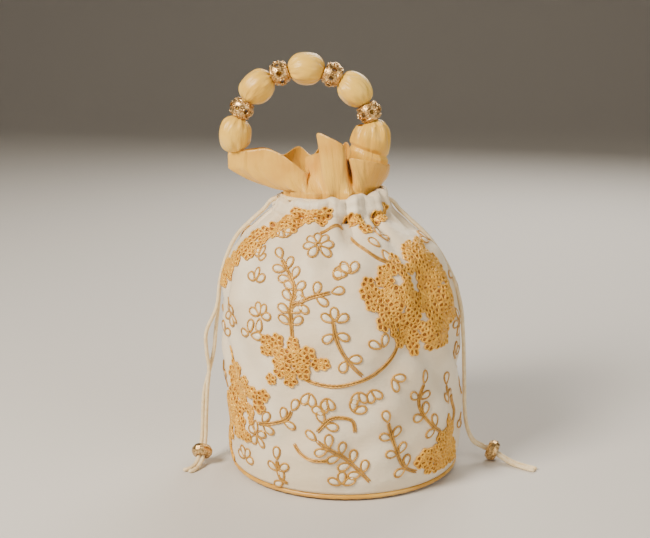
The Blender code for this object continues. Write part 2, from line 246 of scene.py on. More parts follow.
# %% Embroidery threads, cords, cotton
def make_thread(name, light, dark, roughness, metallic, twist=1500, depth=0.00015):
    look = Look(name, roughness=roughness, metallic=metallic, sheen=0.1)
    cloud = look.noise(look.place(), 260, 2.0)
    strands = look.wave(look.place(), twist / 6.283, "DIAGONAL", 1.5)
    look.set("Base Color", look.mix(cloud.step(0.3, 0.7), dark, light))
    look.set("Roughness", roughness - 0.08 + 0.16 * cloud)
    look.bump(strands + cloud, depth)
    return look.material


GOLD_THREAD = make_thread("gold_thread", (0.66, 0.35, 0.055), (0.44, 0.21, 0.025), 0.38, 0.2)
ROSETTE_THREAD = make_thread("rosette_thread", (0.96, 0.54, 0.055), (0.70, 0.33, 0.02), 0.36, 0.15)
# The rosette pads are real satin-stitch fills coloured deep brown: painted shade for the shadows between the
# rosettes' loops.
ROSETTE_PAD_PAINTED_SHADE = make_thread("rosette_pad_painted_shade", (0.48, 0.19, 0.015), (0.32, 0.11, 0.008), 0.5, 0.1)
CREAM_THREAD = make_thread("cream_thread", (0.95, 0.86, 0.68), (0.88, 0.74, 0.50), 0.36, 0.0)
CORD = make_thread("satin_cord", (0.95, 0.79, 0.51), (0.86, 0.66, 0.36), 0.38, 0.0, 2400)
COTTON = make_thread("lining_cotton", (0.74, 0.64, 0.47), (0.66, 0.55, 0.38), 0.8, 0.0, 2600)


# %% Antique gold metal and the hidden board and balls
def make_brass():
    look = Look("antique_brass", roughness=0.3, metallic=1.0)
    cloud = look.noise(look.place(), 700, 4.0)
    look.set("Base Color", look.mix(cloud.step(0.35, 0.65), (0.40, 0.22, 0.07), (0.90, 0.64, 0.30)))
    look.set("Roughness", 0.22 + 0.3 * cloud)
    look.bump(cloud, 0.0002)
    return look.material


def make_plain(name, light, dark, grain):
    look = Look(name, roughness=0.75)
    fibre = look.noise(look.stretched(look.place(), grain), 1.0, 4.0)
    look.set("Base Color", look.mix(fibre.step(0.3, 0.7), dark, light))
    look.bump(fibre, 0.0002)
    return look.material


BRASS = make_brass()
BOARD = make_plain("base_board", (0.50, 0.42, 0.32), (0.38, 0.30, 0.21), (900, 900, 900))
WOOD = make_plain("core_wood", (0.60, 0.44, 0.27), (0.44, 0.29, 0.15), (200, 200, 1500))
print("finishes:", len(bpy.data.materials))

# %% [markdown]
# ## One way to lay cloth
# The real bag starts as a flat panel that is sewn into a tube. The same is done here: a flat grid
# is added, each of its points is laid on the form by a rule, and the seam is closed by merging
# the points that meet. Its UV map keeps the cloth's own metres, so the weave stays even.


# %% Lay a flat panel on a form
def deselect():
    bpy.ops.object.select_all(action="DESELECT")


def laid_cloth(name, around, along, form, size, look, wall=0.0, seam=True):
    """A grid whose point (u, v), both 0 to 1, goes where form(u, v) says."""
    deselect()
    bpy.ops.mesh.primitive_grid_add(x_subdivisions=around, y_subdivisions=along, size=2)
    piece = bpy.context.object
    piece.name = piece.data.name = name
    flat = np.empty(len(piece.data.vertices) * 3)
    piece.data.vertices.foreach_get("co", flat)
    flat = flat.reshape(-1, 3) / 2 + 0.5
    piece.data.vertices.foreach_set("co", form(flat[:, 0], flat[:, 1]).ravel())
    chart = piece.data.uv_layers.active.data
    spots = np.empty(len(chart) * 2)
    chart.foreach_get("uv", spots)
    chart.foreach_set("uv", (spots.reshape(-1, 2) * size).ravel())
    if seam:
        bpy.ops.object.mode_set(mode="EDIT")
        bpy.ops.mesh.select_all(action="SELECT")
        bpy.ops.mesh.remove_doubles(threshold=1e-6)
        bpy.ops.object.mode_set(mode="OBJECT")
    if wall:
        hem = piece.modifiers.new("Wall", "SOLIDIFY")
        hem.thickness = wall
        hem.offset = -1
        bpy.ops.object.modifier_apply(modifier=hem.name)
    bpy.ops.object.shade_smooth()
    piece.data.materials.append(look)
    return piece


def stack(x, y, z):
    return np.stack(np.broadcast_arrays(x, y, z), -1)


def smooth_step(value, low, high):
    t = np.clip((value - low) / (high - low), 0, 1)
    return t * t * (3 - 2 * t)


# %% [markdown]
# ## The form of the bag
# The stuffed bag is round at the base and draws in to an oval neck, a little to the left. One
# rule gives any point of the silk from its turn round the bag, its way up along the cloth, and
# its lift off the cloth. The embroidery later uses the same rule, so it lies on every fold.

# %% The profile along the cloth, from the base seam to the casing's top
SECTIONS = (
    (0.0052, 0.0, 0.0868),
    (0.014, 0.0, 0.0888),
    (0.050, 0.0, 0.0892),
    (0.090, -0.0015, 0.0896),
    (0.118, -0.0035, 0.0893),
    (0.138, -0.0055, 0.0868),
    (0.153, -0.0070, 0.0816),
    (0.167, -0.0082, 0.0752),
    (0.179, -0.0094, 0.0658),
    (0.189, -0.0100, 0.0555),
    (0.197, -0.0100, 0.0462),
    (0.204, -0.0100, 0.0422),
    (0.2105, -0.0100, 0.0415),
    (0.2128, -0.0100, 0.0398),
    (0.2122, -0.0100, 0.0366),
)
NECK_X = -0.0100
NECK_DEPTH_RATIO = 0.86
sections = np.array(SECTIONS)
steps = np.hypot(np.diff(sections[:, 0]), np.diff(sections[:, 2]))
section_ways = np.concatenate([[0], np.cumsum(steps)])
CLOTH_HEIGHT = section_ways[-1]
FINE = 400
fine_ways = np.linspace(0, CLOTH_HEIGHT, FINE)
window = np.hanning(13)
window /= window.sum()


def softened(column):
    """A column of the sections along the cloth, with its corners rounded and its ends kept."""
    values = np.interp(fine_ways, section_ways, sections[:, column])
    padded = np.concatenate([2 * values[0] - values[6:0:-1], values, 2 * values[-1] - values[-2:-8:-1]])
    return np.convolve(padded, window, "valid")


fine_height, fine_shift, fine_width = (softened(column) for column in range(3))
fine_out = np.gradient(fine_height, fine_ways)
fine_up = -np.gradient(fine_width, fine_ways)
print("cloth height mm:", round(CLOTH_HEIGHT * 1000, 1))

# %% Folds, gathers and dents of the silk
random.seed(7)
# Each gather: its turn in degrees, the way up the cloth where it starts, and its depth.
GATHERS = (
    (-80, 0.165, 1.0), (-52, 0.150, 1.1), (-28, 0.168, 0.9), (-6, 0.178, 0.8), (13, 0.158, 1.7),
    (30, 0.185, 0.5), (42, 0.140, 1.0), (60, 0.182, 0.6), (77, 0.165, 1.1), (98, 0.150, 0.9),
    (120, 0.170, 1.2), (139, 0.160, 0.8), (158, 0.145, 1.1), (180, 0.172, 0.9), (202, 0.155, 1.3),
    (226, 0.168, 0.8), (247, 0.148, 1.1), (264, 0.172, 0.8),
)
GATHER_DEPTH, PUFF_DEPTH, DENT_DEPTH, PUCKER_DEPTH = 0.0052, 0.0036, 0.0017, 0.0008
CORD_ROOM = 0.0015
DENTS = [
    (
        random.choice((1, 2, 3, 4, 5)),
        random.uniform(18, 60),
        random.uniform(0, 6.28),
        random.uniform(0.2, 0.5),
    )
    for _ in range(9)
]
PUCKERS = [
    (
        random.choice((7, 9, 12, 15)),
        random.uniform(-160, 160),
        random.uniform(0, 6.28),
        random.uniform(0.5, 1.2),
    )
    for _ in range(6)
]


def relief(turn, way):
    """How far the silk stands off its smooth form."""
    shape = np.zeros(np.broadcast(turn, way).shape)
    lip = smooth_step(way, 0.2185, 0.2240)
    for centre, start, depth in GATHERS:
        apart = np.abs((turn - math.radians(centre) + math.pi) % (2 * math.pi) - math.pi)
        grow = smooth_step(way, start, 0.209)
        width = 0.075 + 0.02 * (depth > 1.5) + 0.05 * (1 - grow)
        valley = np.exp(-((apart / width) ** 2))
        shape -= GATHER_DEPTH * depth * valley * grow**1.2 * (1 - 0.7 * lip)
    casing = smooth_step(way, 0.2060, 0.2100) * (1 - smooth_step(way, 0.2190, 0.2240))
    slits = 1 - np.exp(-((np.cos(turn) / 0.22) ** 2))
    puffs = np.abs(np.sin(8.5 * turn + 0.7 * np.sin(3 * turn) + 0.4)) ** 0.7
    # The gathers stop short of the cords that run inside the casing.
    shape = np.maximum(shape, -CORD_ROOM - 0.012 * (1 - smooth_step(way, 0.2030, 0.2085)))
    shape += (0.0002 + PUFF_DEPTH * puffs * slits) * casing
    body = smooth_step(way, 0.004, 0.03) * (1 - smooth_step(way, 0.17, 0.20))
    for waves, climb, phase, height in DENTS:
        shape += DENT_DEPTH * height * body * np.sin(waves * turn + climb * way + phase)
    for waves, climb, phase, height in PUCKERS:
        sway = 2 * np.sin(40 * way + phase)
        shape += PUCKER_DEPTH * height * body * np.sin(waves * turn + climb * way + phase + sway)
    return shape


def silk(turn, way, lift=0.0):
    """A point of the silk: turn from the front, way up along the cloth, and lift off it."""
    height = np.interp(way, fine_ways, fine_height)
    width = np.interp(way, fine_ways, fine_width)
    shift = np.interp(way, fine_ways, fine_shift)
    out = np.interp(way, fine_ways, fine_out)
    up = np.interp(way, fine_ways, fine_up)
    neck = np.clip((height - 0.167) / 0.037, 0, 1)
    depth = width * (1 - neck * (1 - NECK_DEPTH_RATIO))
    stand = relief(turn, way) + lift
    tie = smooth_step(way, 0.200, 0.2240)
    height = height - tie * (0.0028 - 0.0036 * np.sin(turn) - 0.0011 * np.sin(11 * turn + 2))
    x = shift + (width + stand * out) * np.sin(turn)
    y = -(depth + stand * out) * np.cos(turn)
    return stack(x, y, height + stand * up)


# %% [markdown]
# ## Drawstrings
# Two satin cords run through the casing. Each leaves it at its own side, hangs down double,
# passes through a metal end bead and ends in two bare tails on the table. Each free run is laid
# on one smooth curve, whose points are those of the solid it replaces.

# %% The four free runs
CORD_RADIUS = 0.0015
RUNS = {
    "left_front": (
        (-0.0500, -0.0020, 0.2048), (-0.0555, -0.0024, 0.2025), (-0.0608, -0.0028, 0.1962),
        (-0.0700, -0.0034, 0.1880), (-0.0812, -0.0040, 0.1765), (-0.0893, -0.0048, 0.1600),
        (-0.0942, -0.0056, 0.1420), (-0.0970, -0.0066, 0.1220), (-0.1050, -0.0085, 0.1030),
        (-0.1052, -0.0092, 0.0880), (-0.1035, -0.0098, 0.0740), (-0.1052, -0.0105, 0.0560),
        (-0.1062, -0.0112, 0.0380), (-0.1068, -0.0122, 0.0230), (-0.1073, -0.0152, 0.0150),
        (-0.1076, -0.0192, 0.0105), (-0.1085, -0.0238, 0.0055), (-0.1105, -0.0290, 0.0028),
        (-0.1135, -0.0350, 0.0017), (-0.1172, -0.0385, 0.0016),
    ),
    "left_back": (
        (-0.0500, 0.0020, 0.2048), (-0.0555, 0.0012, 0.2025), (-0.0608, 0.0008, 0.1962),
        (-0.0700, 0.0002, 0.1880), (-0.0812, -0.0004, 0.1765), (-0.0893, -0.0012, 0.1600),
        (-0.0942, -0.0020, 0.1420), (-0.0962, -0.0028, 0.1220), (-0.0985, -0.0032, 0.1030),
        (-0.1000, -0.0046, 0.0880), (-0.1030, -0.0058, 0.0740), (-0.1078, -0.0070, 0.0560),
        (-0.1092, -0.0082, 0.0380), (-0.1098, -0.0097, 0.0230), (-0.1104, -0.0150, 0.0150),
        (-0.1108, -0.0192, 0.0105), (-0.1120, -0.0236, 0.0055), (-0.1143, -0.0288, 0.0028),
        (-0.1180, -0.0338, 0.0017), (-0.1220, -0.0352, 0.0016),
    ),
    "right_front": (
        (0.0300, -0.0020, 0.2048), (0.0355, -0.0024, 0.2025), (0.0408, -0.0028, 0.1962),
        (0.0498, -0.0034, 0.1880), (0.0615, -0.0040, 0.1768), (0.0732, -0.0048, 0.1610),
        (0.0824, -0.0056, 0.1425), (0.0880, -0.0062, 0.1225), (0.0902, -0.0066, 0.1000),
        (0.0913, -0.0068, 0.0800), (0.0921, -0.0070, 0.0600), (0.0928, -0.0072, 0.0420),
        (0.0950, -0.0074, 0.0270), (0.0995, -0.0078, 0.0160), (0.1065, -0.0070, 0.0110),
        (0.1144, -0.0096, 0.0083), (0.1212, -0.0136, 0.0048), (0.1280, -0.0196, 0.0022),
        (0.1355, -0.0256, 0.0016), (0.1440, -0.0318, 0.0016),
    ),
    "right_back": (
        (0.0300, 0.0020, 0.2048), (0.0355, 0.0012, 0.2025), (0.0408, 0.0008, 0.1962),
        (0.0498, 0.0002, 0.1880), (0.0615, -0.0004, 0.1768), (0.0732, -0.0012, 0.1610),
        (0.0824, -0.0020, 0.1425), (0.0880, -0.0026, 0.1225), (0.0904, -0.0030, 0.1000),
        (0.0915, -0.0032, 0.0800), (0.0923, -0.0034, 0.0600), (0.0930, -0.0036, 0.0420),
        (0.0952, -0.0036, 0.0270), (0.1000, -0.0040, 0.0160), (0.1076, -0.0038, 0.0110),
        (0.1156, -0.0064, 0.0083), (0.1226, -0.0104, 0.0048), (0.1302, -0.0160, 0.0022),
        (0.1378, -0.0218, 0.0016), (0.1465, -0.0280, 0.0016),
    ),
}


def smooth_line(route, count):
    """count points evenly along a Catmull-Rom curve through the route."""
    points = np.array([route[0], *route, route[-1]], float)
    fine = []
    for a, b, c, d in zip(points, points[1:], points[2:], points[3:]):
        t = np.linspace(0, 1, 16, endpoint=False)[:, None]
        fine.append(b + 0.5 * t * (c - a + t * (2 * a - 5 * b + 4 * c - d + t * (3 * (b - c) + d - a))))
    fine = np.concatenate([*fine, points[-1:]])
    ways = np.concatenate([[0], np.cumsum(np.linalg.norm(np.diff(fine, axis=0), axis=1))])
    wanted = np.linspace(0, ways[-1], count)
    return np.stack([np.interp(wanted, ways, fine[:, axis]) for axis in range(3)], -1), ways[-1]


def frames_along(points):
    """Two directions square to the line at each point, turned as little as can be."""
    ways = np.gradient(points, axis=0)
    ways /= np.linalg.norm(ways, axis=1)[:, None]
    side = np.cross(ways[0], (0.3, 0.9, 0.2))
    sides = []
    for way in ways:
        side = side - way * (side @ way)
        side /= np.linalg.norm(side)
        sides.append(side)
    sides = np.array(sides)
    return sides, np.cross(ways, sides)


def laid_tube(name, points, length, radius_at, around, look, turns=0.0):
    """A tube round a line. radius_at gives its radius from the turn round it and the share along."""
    sides, others = frames_along(points)
    along = len(points) - 1

    def form(u, v):
        row = np.rint(v * along).astype(int)
        turn = -2 * math.pi * u
        radius = radius_at(turn + turns * 2 * math.pi * v, v)[:, None]
        sideways = np.cos(turn)[:, None] * sides[row] + np.sin(turn)[:, None] * others[row]
        return points[row] + radius * sideways

    return laid_cloth(name, around, along, form, (0.01, length), look)


def close_ends(piece):
    """The open rims of a tube, filled."""
    bpy.ops.object.mode_set(mode="EDIT")
    bpy.ops.mesh.select_all(action="DESELECT")
    bpy.ops.mesh.select_mode(type="EDGE")
    bpy.ops.mesh.select_non_manifold()
    bpy.ops.mesh.edge_face_add()
    bpy.ops.object.mode_set(mode="OBJECT")


def plied(turn, share):
    """A three-ply satin cord with slightly frayed, rounded ends."""
    lobes = 0.90 + 0.12 * np.abs(np.cos(1.5 * turn))
    ends = np.minimum(share, 1 - share)
    return CORD_RADIUS * lobes * (0.35 + 0.65 * np.clip(ends / 0.004, 0, 1) ** 0.5)


CORD_STEPS = 240
for name, route in RUNS.items():
    line, length = smooth_line(route, CORD_STEPS + 1)
    cord = laid_tube(f"cord_{name}", line, length, plied, 12, CORD, turns=length / 0.012)
    close_ends(cord)
    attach(cord, "bag")
    side = name.split("_")[0]
    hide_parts(f"drawstring_{name}")
    tuple(line[0])
    [tuple(point) for point in line]
    print(cord.name, round(length * 1000), "mm")

# %% [markdown]
# ## The silk body
# The silk is one flat panel rolled into a tube and gathered at the top. Its folds are real, cut
# into the form by the rule above, and its wall has the thickness of interlined silk.

# %% Outer bag
WALL = 0.0006


def body_form(u, v):
    return silk(2 * math.pi * u, v * CLOTH_HEIGHT)


body = laid_cloth("silk_body", 288, 116, body_form, (0.56, CLOTH_HEIGHT), SILK, WALL)
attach(body, "bag")
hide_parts("outer_bag")
print("silk body faces:", len(body.data.polygons))

# %% [markdown]
# ## Cord embroidery
# The embroidery is gold cord laid on the silk and stitched down. Stems are two cords side by
# side. Each petal is a loop of cord round a pad of cream satin stitch, and the dense patches are
# small rosettes worked in ochre thread round dark brown pads, whose colour is painted shade
# between the loops. Every loop is a real thread on the silk.


# %% Collecting threads and pads, then making each set one piece
class Needlework:
    """Threads and pads collected as lists, and made into one mesh at the end."""

    def __init__(self):
        self.points, self.faces = [], []

    def grid(self, rows, closed_rows, closed_columns=True):
        """Faces over a list of rings of points."""
        start = sum(len(block) for block in self.points)
        count, width = len(rows), len(rows[0])
        self.points.append(np.concatenate(rows))
        for i in range(count if closed_rows else count - 1):
            for j in range(width if closed_columns else width - 1):
                a, b = i * width + j, i * width + (j + 1) % width
                c, d = ((i + 1) % count) * width + j, ((i + 1) % count) * width + (j + 1) % width
                self.faces.append((start + a, start + b, start + d, start + c))
        return start

    def thread(self, points, lifts, radius, closed=False, sides=5):
        """A round thread along points, standing up the way lifts point."""
        ahead = np.roll(points, -1, 0) - np.roll(points, 1, 0)
        if not closed:
            ahead[0], ahead[-1] = points[1] - points[0], points[-1] - points[-2]
        across = np.cross(ahead, lifts)
        across /= np.linalg.norm(across, axis=1)[:, None] + 1e-12
        turns = 2 * math.pi * np.arange(sides) / sides
        sizes = np.full(len(points), radius)
        if not closed:
            sizes[0] = sizes[-1] = radius * 0.35
        rows = [
            point + size * (np.cos(turns)[:, None] * side + np.sin(turns)[:, None] * lift)
            for point, size, side, lift in zip(points, sizes, across, lifts)
        ]
        start = self.grid(rows, closed)
        if not closed:
            last = start + (len(rows) - 1) * sides
            self.faces.append(tuple(start + k for k in reversed(range(sides))))
            self.faces.append(tuple(last + k for k in range(sides)))

    def pad(self, rim, middle, crown):
        """A low cushion from a closed rim up to its crown."""
        inner = middle + (rim - middle) * 0.55 + crown * 0.8
        start = self.grid([rim, inner], False)
        self.points.append((middle + crown)[None])
        top = start + 2 * len(rim)
        ring = start + len(rim)
        for k in range(len(rim)):
            self.faces.append((ring + k, ring + (k + 1) % len(rim), top))
        self.faces.append(tuple(start + k for k in reversed(range(len(rim)))))

    def make(self, name, look, slot):
        data = bpy.data.meshes.new(name)
        data.from_pydata(np.concatenate(self.points).tolist(), [], self.faces)
        data.shade_smooth()
        data.materials.append(look)
        piece = bpy.data.objects.new(name, data)
        bpy.context.scene.collection.objects.link(piece)
        deselect()
        piece.select_set(True)
        bpy.context.view_layer.objects.active = piece
        bpy.ops.object.mode_set(mode="EDIT")
        bpy.ops.mesh.select_all(action="SELECT")
        bpy.ops.mesh.normals_make_consistent(inside=False)
        bpy.ops.object.mode_set(mode="OBJECT")
        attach(piece, "bag")
        print(name, "faces:", len(data.polygons))
        return piece


# %% Where a stitch goes
def local_width(way):
    return np.interp(way, fine_ways, fine_width)


def stitched(turn, way, across, up, lift):
    """Points across and up from a place on the silk, in metres along the cloth, and their lift."""
    ways = way + up
    turns = turn + across / np.maximum(local_width(way), 0.03)
    points = silk(turns, ways, lift)
    return points, (silk(turns, ways, lift + 0.001) - points) / 0.001


CORD_HALF = 0.00072
THREAD_LIFT = 0.0004


def petal_loop(length, width, heading, count):
    """The outline of a petal: from its foot out to its round tip and back."""
    swing = 2 * math.pi * np.arange(count) / count
    along = length * (1 - np.cos(swing)) / 2
    wide = width / 2 * np.sin(swing) * np.sin(swing / 2) ** 0.6 * 1.12
    across = along * math.sin(heading) + wide * math.cos(heading)
    up = along * math.cos(heading) - wide * math.sin(heading)
    return across, up


def petal(turn, way, heading, length=0.0096, width=0.0060, offset=0.0):
    """One open petal: a gold loop round a cream pad. heading is from straight up, clockwise."""
    across, up = petal_loop(length, width, heading, 12)
    across, up = across + offset * math.sin(heading), up + offset * math.cos(heading)
    rim, lifts = stitched(turn, way, across, up, THREAD_LIFT)
    gold.thread(rim, lifts, CORD_HALF, closed=True)
    middle = (offset + length * 0.55) * np.array([math.sin(heading), math.cos(heading)])
    foot, stand = stitched(turn, way, middle[0], middle[1], 0.0001)
    low, _ = stitched(turn, way, across, up, 0.0001)
    cream.pad(low, foot, stand * 0.0010)


def stem(stops, pairs=0, double=True, tip=True, length=0.0092, start=0.2, flip=1):
    """A stem through stops of turn in degrees and way in millimetres, with pairs of petals on it."""
    route = [(math.radians(turn) * 0.089, way / 1000, 0) for turn, way in stops]
    count = max(6, int(sum(math.dist(a, b) for a, b in zip(route, route[1:])) / 0.0016))
    line, _ = smooth_line(route, count)
    ahead = np.gradient(line, axis=0)
    ahead /= np.linalg.norm(ahead, axis=1)[:, None]
    for shift in (-0.00078, 0.00078) if double else (0.0,):
        across = line[:, 0] - shift * ahead[:, 1]
        up = line[:, 1] + shift * ahead[:, 0]
        points = silk(across / 0.089, up, THREAD_LIFT)
        lifts = (silk(across / 0.089, up, THREAD_LIFT + 0.001) - points) / 0.001
        gold.thread(points, lifts, CORD_HALF)
    for k in range(pairs):
        at = int((start + (0.92 - start) * k / max(1, pairs - 0.4)) * (count - 1))
        course = math.atan2(ahead[at, 0], ahead[at, 1])
        for side in (-1, 1):
            turn = line[at, 0] / 0.089
            petal(turn, line[at, 1], course + side * flip * random.uniform(0.85, 1.1), length, offset=0.0012)
    if tip:
        petal(line[-1, 0] / 0.089, line[-1, 1], math.atan2(ahead[-1, 0], ahead[-1, 1]), length, offset=0.0008)


def spray(turn, way, headings, length=0.0094, offset=0.0014):
    """Petals round one place."""
    for heading in headings:
        petal(math.radians(turn), way / 1000, math.radians(heading), length, offset=offset)


def rosette(turn, way, size, spin):
    """A small dense flower of worked petals, with a knot in its middle."""
    petals = 5
    for k in range(petals):
        heading = spin + 2 * math.pi * k / petals
        across, up = petal_loop(size, size * 0.78, heading, 9)
        rim, lifts = stitched(turn, way, across, up, 0.0008)
        ochre.thread(rim, lifts, 0.00070, closed=True, sides=5)
        low, _ = stitched(turn, way, across, up, 0.0001)
        middle = size * 0.55 * np.array([math.sin(heading), math.cos(heading)])
        foot, stand = stitched(turn, way, middle[0], middle[1], 0.0001)
        # The pad inside each loop is dark brown: painted shade between the loops, on a real fill.
        shaded_pads.pad(low, foot, stand * 0.0006)
    swing = 2 * math.pi * np.arange(6) / 6
    rim, _ = stitched(turn, way, 0.0010 * np.sin(swing), 0.0010 * np.cos(swing), 0.0008)
    foot, stand = stitched(turn, way, 0, 0, 0.0008)
    gold.pad(rim, foot, stand * 0.0009)


# %% [markdown]
# ## The pattern
# Sprigs wander between dense patches of rosettes. Places are turns from the front in degrees and
# ways up the cloth in millimetres. The same pattern is worked twice, front and back.

# %% Sprigs: their stops, pairs of petals, and whether a petal ends them
SPRIGS = (
    (((-8, 193), (10, 200), (18, 180), (26, 170), (40, 162)), 0, False),
    (((-22, 112), (-22, 135), (-21, 152), (-30, 170)), 6, True),
    (((-22, 137), (-12, 144), (-2, 148)), 2, True),
    (((-2, 128), (-1, 114), (3, 101), (9, 90)), 2, False),
    (((-20, 88), (-14, 83), (-2, 82), (9, 87), (20, 94), (26, 106), (29, 112)), 0, False),
    (((-42, 47), (-33, 50), (-27, 54), (-24, 61)), 2, True),
    (((-27, 5), (-31, 8), (-32, 22)), 2, True),
    (((12, 10), (6, 20), (-2, 31), (-12, 42)), 4, True),
    (((-24, 36), (-20, 30), (-14, 27), (-6, 28)), 0, False),
    (((-12, 48), (-7, 56), (-2, 58), (4, 56), (5, 47)), 1, False),
    (((36, 12), (29, 18), (24, 34), (20, 54)), 3, True),
    (((50, 38), (43, 46), (38, 61), (40, 77)), 3, True),
    (((60, 54), (60, 68)), 1, True),
    (((54, 36), (66, 34), (72, 42), (68, 57)), 1, False),
)
SPRAYS = (
    (-8, 182, (-150, -100, -55, -10, 35, 80, 130)),
    (-44, 150, (-60, 0, 60)),
    (-62, 122, (0, 60, 120, 180, 240, 300)),
    (-39, 126, (-70, -20, 30, 80, 180)),
    (-44, 112, (-90, 0, 90)),
    (-1, 127, (-60, 0, 60)),
    (34, 186, (20, 80)),
    (30, 177, (-30, 160)),
    (19, 108, (-60, 20)),
    (23, 86, (100, 160)),
    (-15, 76, (170, 215)),
    (-7, 74, (160, 200)),
    (7, 79, (150, 200)),
    (12, 80, (130, 175)),
    (-44, 37, (0, 72, 144, 216, 288)),
    (-55, 12, (-70, -20, 30, 80)),
    (-8, 60, (-60, 0)),
    (4, 62, (10, 70)),
    (-1, 8, (-60, 0, 60)),
    (-50, 168, (-40, 20, 80)),
    (-33, 186, (-60, 0)),
    (8, 160, (-80, -20, 40)),
    (2, 168, (120, 180)),
    (-70, 102, (-60, 0, 60)),
    (76, 84, (-70, 0, 70)),
    (76, 110, (0, 90, 180, 270)),
    (84, 24, (-60, 0, 60)),
    (86, 60, (0, 72, 144, 216, 288)),
    (88, 140, (-60, 0, 60, 180)),
    (80, 172, (-60, 0, 60)),
)

# %% Dense patches: turn, way and the radius filled with rosettes
PATCHES = (
    (-79, 141, 7), (-76, 148, 7), (-70, 155, 7), (-65, 163, 7), (-61, 172, 7), (-58, 181, 7), (-54, 188, 7),
    (-48, 195, 7), (-42, 200, 7), (-35, 204, 7), (-27, 206, 7), (-18, 206, 6), (-10, 205, 6), (-3, 208, 5),
    (-33, 197, 5), (-45, 189, 5), (14, 203, 4), (20, 206, 5), (28, 198, 4), (44, 204, 5), (60, 208, 4),
    (16, 145, 7), (20, 154, 7), (27, 158, 7), (36, 163, 7), (47, 172, 7), (56, 171, 7), (61, 160, 8),
    (67, 148, 8), (71, 134, 9), (67, 120, 9), (59, 108, 9), (48, 107, 8), (38, 110, 8), (30, 116, 7),
    (21, 127, 7), (33, 140, 8), (46, 143, 8), (51, 131, 9), (39, 123, 8), (58, 122, 9), (24, 137, 8),
    (56, 150, 8), (62, 136, 8), (42, 133, 8), (30, 128, 8), (47, 117, 8), (27, 149, 7), (38, 152, 7),
    (52, 160, 7), (55, 141, 7), (31, 121, 7), (69, 162, 6), (64, 172, 5), (45, 160, 6),
    (-35, 105, 7), (-28, 104, 7), (-21, 108, 7), (-15, 103, 7), (-11, 97, 6), (-20, 95, 8), (-28, 95, 7),
    (-25, 84, 6), (-32, 85, 4), (-31, 112, 4),
    (-65, 85, 7), (-58, 78, 7), (-49, 72, 7), (-42, 67, 6), (-55, 64, 8), (-64, 64, 7), (-61, 50, 8),
    (-50, 50, 7), (-42, 59, 6), (-60, 36, 8), (-51, 33, 6), (-67, 40, 7), (-74, 7, 5), (-69, 74, 7),
    (-70, 52, 6), (-70, 28, 6), (-72, 18, 5),
    (38, 17, 6), (43, 21, 7), (50, 26, 8), (58, 26, 8), (65, 17, 8), (54, 14, 8), (45, 12, 7), (62, 34, 6),
)
# Openings left in the dense patches, where the silk shows.
HOLES = (
    (44, 150, 4.5), (34, 134, 3), (44, 128, 2.5), (53, 128, 2.5), (65, 131, 2.5), (54, 115, 2.5),
    (-20, 101, 3),
)
ROSETTE = 0.0046


def near(turn, way, spot):
    """Whether a place is within a spot of turn, way and radius."""
    across = (turn - math.radians(spot[0])) * float(local_width(way))
    return math.hypot(across, way - spot[1] / 1000) < spot[2] / 1000


def patch_places():
    """Places for rosettes, a rosette apart, inside the patches."""
    places = []
    pitch = ROSETTE * 1.55
    rows = int(CLOTH_HEIGHT / pitch)
    for row in range(rows + 1):
        way = row * pitch + 0.004
        width = max(0.030, float(local_width(way)))
        columns = int(2 * math.pi * width * 0.5 / pitch)
        for column in range(-columns // 2, columns // 2 + 1):
            turn = (column + 0.5 * (row % 2)) * pitch / width
            turn += random.uniform(-0.26, 0.26) * pitch / width
            for patch_turn, patch_way, radius in PATCHES:
                if near(turn, way, (patch_turn, patch_way, radius)):
                    if any(near(turn, way, hole) for hole in HOLES):
                        break
                    places.append((turn, way + random.uniform(-0.0011, 0.0011)))
                    break
    return places


# %% Work the pattern on the front and on the back
for side, begin in (("front", 0.0), ("back", 180.0)):
    gold, cream, ochre, shaded_pads = (Needlework() for _ in range(4))
    random.seed(11)
    for stops, pairs, tip in SPRIGS:
        stem([(turn + begin, way) for turn, way in stops], pairs, tip=tip)
    for turn, way, headings in SPRAYS:
        spray(turn + begin, way, headings)
    for turn, way in patch_places():
        rosette(turn + math.radians(begin), way, ROSETTE * random.uniform(0.86, 1.22), random.uniform(0, 1.2))
    gold.make(f"embroidery_cord_{side}", GOLD_THREAD, "gold_piping")
    cream.make(f"embroidery_petals_{side}", CREAM_THREAD, "satin_cord")
    ochre.make(f"embroidery_rosettes_{side}", ROSETTE_THREAD, "gold_piping")
    shaded_pads.make(f"embroidery_fills_{side}", ROSETTE_PAD_PAINTED_SHADE, "gold_piping")
